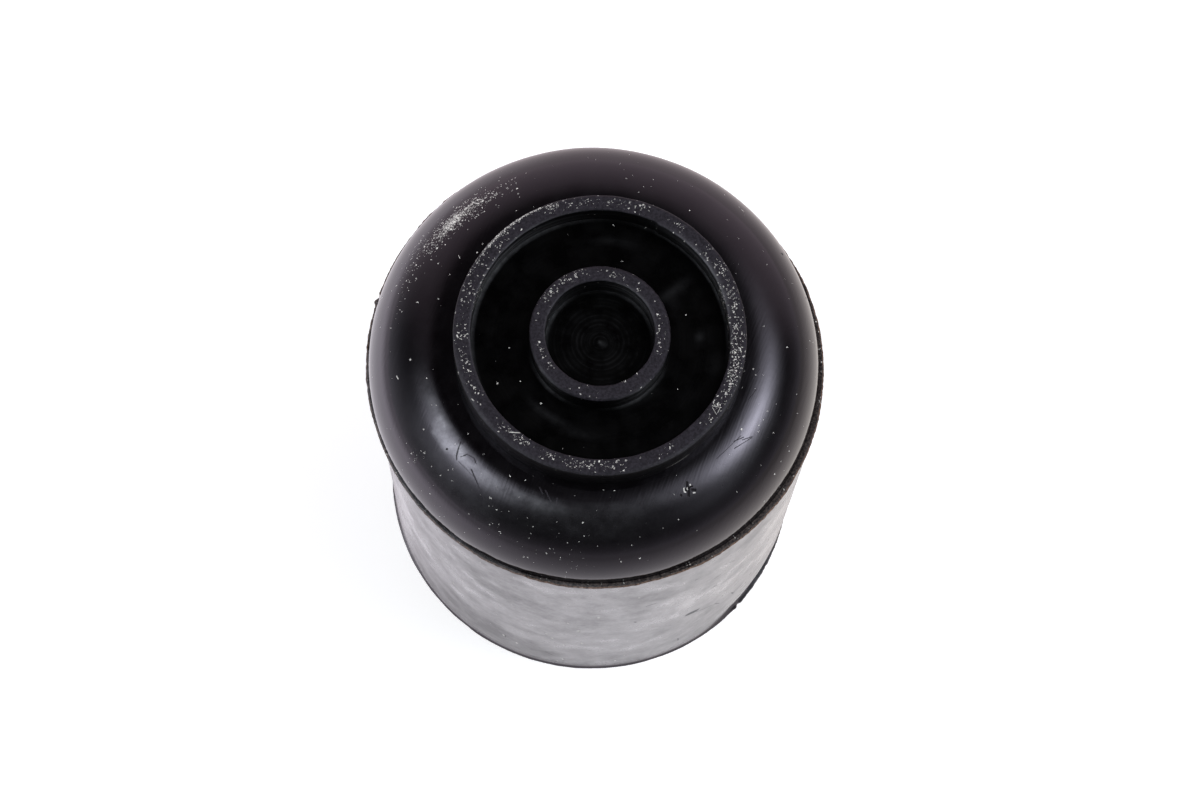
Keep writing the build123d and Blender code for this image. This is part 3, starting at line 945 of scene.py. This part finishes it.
def makeRubber(name):
    settings, d = rubber[name], dressing
    onTheWall = name == "bloomedRubber"
    matter = bpy.data.materials.new(name)
    matter.use_nodes = True
    matter.node_tree.nodes.clear()
    add = partial(addNode, matter.node_tree)
    place = add("TexCoord").outputs["Object"]
    dust = add("Attribute", attribute_name="dust").outputs["Fac"]
    film = add("Attribute", attribute_name="haze").outputs["Fac"]

    # every noise in mm; the cutter's rings follow the distance from the axis and the height
    turned = "rings" in settings["noises"]
    if turned:
        across = add("VectorMath", {0: place, 1: (1, 1, 0)}, operation="MULTIPLY")
        radius = add("VectorMath", {0: across}, operation="LENGTH")
        level = add("SeparateXYZ", {0: place}).outputs[2]
        section = add("CombineXYZ", {0: radius, 2: level})
    noises = {}
    for label, size in {**settings["noises"], "bend": d["bendSize"], "layer": d["layerSize"]}.items():
        roughness = d["softDetail"] if label in ("rubbed", "bend") else d["detail"]
        there = add("Mapping", {"Vector": section if label == "rings" else place,
                                "Scale": np.broadcast_to(size, 3) * mm,
                                "Rotation": d["rubbedTurn"] if label == "rubbed" else (0, 0, 0)},
                    vector_type="TEXTURE")
        noises[label] = add("TexNoise", {"Vector": there, "Scale": 1.0, "Detail": noiseDetail[label],
                                         "Roughness": roughness})

    # clouds of haze, and the gloss that goes with them
    cloud, (clean, hazy) = noises["cloud"], d["wallRange" if onTheWall else "cloudRange"]
    if onTheWall:
        cuttings = strokeMask(add, place, onWall(wallCuts))
        sources = {**noises, "film": film, "cuts": cuttings}
        cloud = 0.0
        for label, weight in d["wallShares"].items():
            cloud = add("Math", {0: sources[label], 1: weight, 2: cloud}, operation="MULTIPLY_ADD")
    cloud = add("MapRange", {0: cloud, 1: clean, 2: hazy})
    base, haze = linearColour(settings["base"]), linearColour(settings["haze"])
    skin = add("Mix", {0: cloud, 6: base, 7: haze}, data_type="RGBA")
    smooth, worn = settings["gloss"]
    gloss = add("MapRange", {0: cloud, 3: smooth, 4: worn})
    if onTheWall:
        shown = add("Math", {0: cuttings, 1: d["wallCut"]}, operation="MULTIPLY")
        skin = add("Mix", {0: shown, 6: skin, 7: linearColour(cutColour)}, data_type="RGBA")
        gloss = add("Mix", {0: cuttings, 2: gloss, 3: d["cutGloss"]}, data_type="FLOAT")

    # unevenness of the mould's skin, with rub marks on the shoulder and the cutter's rings in the tread
    reliefs = [(noises["uneven"], settings["relief"])]
    if name == "mouldedRubber":
        reliefs.append((noises["rubbed"], d["rubbedRelief"]))
    if turned:
        reliefs.append((noises["rings"], d["ringRelief"]))
        start, full, least = d["centreRings"]
        inCentre = add("MapRange", {0: radius, 1: start * mm, 2: full * mm, 3: least})
        low, high = d["brokenRange"]
        broken = add("MapRange", {0: noises["broken"], 1: low, 2: high})
        broken = add("Math", {0: broken, 1: inCentre}, operation="MULTIPLY")
        low, high = d["ringRange"]
        rings = add("MapRange", {0: noises["rings"], 1: low, 2: high, 4: d["ringFilm"]})
        rings = add("Math", {0: rings, 1: broken}, operation="MULTIPLY")
        skin = add("Mix", {0: rings, 6: skin, 7: linearColour(filmAndPaintedLightColour)}, data_type="RGBA")

    # a film that is mottled on the skin, and lies along the cutter's marks on the walls of the rings; on
    # the shoulder it also carries the painted highlight
    marks = []
    if name == "mouldedRubber":
        marks = [(strokeMask(add, place, onHead(scratches)), d["wornFilm"], d["wornGloss"]),
                 (strokeMask(add, place, onHead(cuts)), d["cutFilm"], d["cutGloss"])]
    if not onTheWall:
        label = "furrows" if "furrows" in noises else "mottle"
        low, high, thin, strong = d[label]
        mottle = add("MapRange", {0: noises[label], 1: low, 2: high, 3: thin, 4: strong})
        for mark, left, _ in marks:
            share = add("MapRange", {0: mark, 3: 1, 4: left})
            mottle = add("Math", {0: mottle, 1: share}, operation="MULTIPLY")
        share = add("Math", {0: film, 1: mottle}, operation="MULTIPLY")
        skin = add("Mix", {0: share, 6: skin, 7: linearColour(filmAndPaintedLightColour)}, data_type="RGBA")

    # dust in grains and fibres, a layer where it lies thick, and the single crumbs, with the painted glints
    # on the head among them
    bend = add("VectorMath", {0: noises["bend"].outputs["Color"], 1: (0.5, 0.5, 0.5)},
               operation="SUBTRACT")
    bend = add("VectorMath", {0: bend, "Scale": d["bendReach"] * mm}, operation="SCALE")
    bent = add("VectorMath", {0: place, 1: bend}, operation="ADD")
    density = add("Math", {0: dust, 1: settings["specks"]}, operation="MULTIPLY")
    mask = 0.0
    for share, size, reach, turn in d["grains"]:
        chance = add("Math", {0: density, 1: share}, operation="MULTIPLY")
        grains = grainMask(add, bent, chance, size, reach, turn)
        mask = add("Math", {0: mask, 1: grains}, operation="MAXIMUM")
    thick = add("Math", {0: density, 1: d["thick"], 2: noises["layer"]}, operation="MULTIPLY_ADD")
    low, high = d["thickRange"]
    thick = add("MapRange", {0: thick, 1: low, 2: high, 4: d["thickCover"]})
    mask = add("Math", {0: mask, 1: thick}, operation="MAXIMUM")
    strokes = onWall(wallDust) if onTheWall else []
    if name in ("mouldedRubber", "scuffedRubber", "cutRubber"):
        strokes = onHead(fibresAndGlints)
    if strokes:
        crumbsAndGlints = add("MapRange", {0: strokeMask(add, place, strokes), 4: d["crumbCover"]})
        mask = add("Math", {0: mask, 1: crumbsAndGlints}, operation="MAXIMUM")
    colour = add("Mix", {0: mask, 6: skin, 7: linearColour(dustAndGlintColour)}, data_type="RGBA")
    gloss = add("Mix", {0: mask, 2: gloss, 3: d["dustGloss"]}, data_type="FLOAT")
    for mark, _, roughness in marks:
        gloss = add("Mix", {0: mark, 2: gloss, 3: roughness}, data_type="FLOAT")
    if marks:
        reliefs.append((marks[-1][0], d["cutRelief"]))

    # each relief bends the normal that the one before it left
    bump = {}
    for heights, depth in reliefs:
        normal = add("Bump", {"Strength": 1.0, "Distance": depth * mm, "Height": heights, **bump})
        bump = {"Normal": normal}
    shader = add("BsdfPrincipled", {"IOR": settings["ior"], "Specular Tint": settings["tint"],
                                    **settings.get("sheen", {}), "Base Color": colour,
                                    "Roughness": gloss, **bump})
    add("OutputMaterial", {0: shader})
    return matter


body = buildTip()
for finishName in rubber:
    body.data.materials.append(makeRubber(finishName))
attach(body, "root")
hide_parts("rubber_tip")
print("tip finished")
